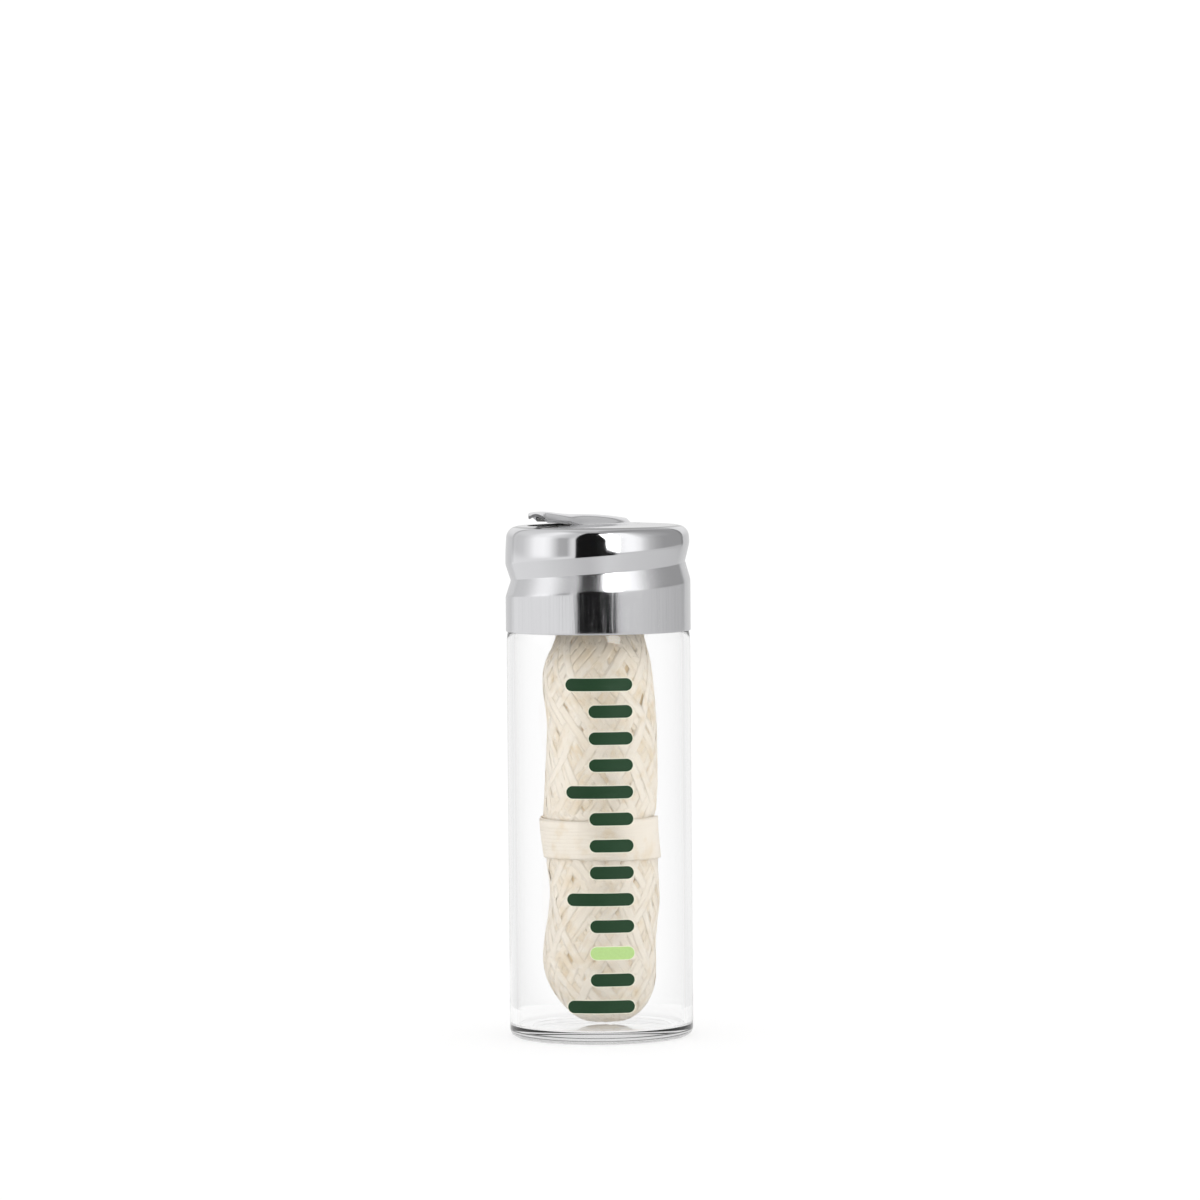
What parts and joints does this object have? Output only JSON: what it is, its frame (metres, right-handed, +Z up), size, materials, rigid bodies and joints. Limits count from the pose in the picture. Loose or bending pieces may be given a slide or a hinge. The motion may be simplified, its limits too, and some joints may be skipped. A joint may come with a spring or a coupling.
{
  "type": "dental floss dispenser",
  "caption": "Refillable floss dispenser: a clear glass vial holds a wound floss bundle under a screwed-on steel cap with a pressed cutter tongue and floss hole.",
  "frame": {"origin": "centre of the vial's base, on the plane that it stands on", "axes": "+Z up along the vial's axis, -Y towards the printed front, +X to the right of someone who looks at the front"},
  "size_m": [0.0222, 0.0222, 0.0628],
  "materials": {
    "clear_glass": "fire-polished clear borosilicate tubing",
    "dark_green_ink": "screen-printed enamel ink, satin",
    "light_green_ink": "screen-printed enamel ink, satin",
    "stainless_steel": "bright stainless steel sheet, pressed and rolled, with a fine upright grain on the skirt",
    "liner_polyethylene": "foamed white polyethylene",
    "floss_fibre": "natural cream floss, waxed, in fine crossing strands"
  },
  "bodies": {
    "vial": {"glass_vial": "clear_glass", "printed_marks": "dark_green_ink", "printed_accent": "light_green_ink"},
    "liner": {"cap_liner": "liner_polyethylene"},
    "cap": {"screw_cap": "stainless_steel"},
    "floss": {"floss_core": "floss_fibre", "floss_winding": "floss_fibre"}
  },
  "joints": [
    {"name": "cap_rise", "type": "slide", "parent": "vial", "child": "liner", "axis": [0, 0, 1], "range_m": [0, 0.0135]},
    {"name": "cap_turn", "type": "hinge", "parent": "liner", "child": "cap", "pos_m": [0, 0, 0.055], "axis": [0, 0, 1], "range_deg": [0, 1080]},
    {"name": "floss_turn", "type": "hinge", "parent": "vial", "child": "floss", "pos_m": [0, 0, 0.025], "axis": [0, 0, 1], "continuous": true}
  ],
  "couplings": [
    {"joint": "cap_rise", "follows": "cap_turn", "m_per_rad": 0.00071619}
  ]
}
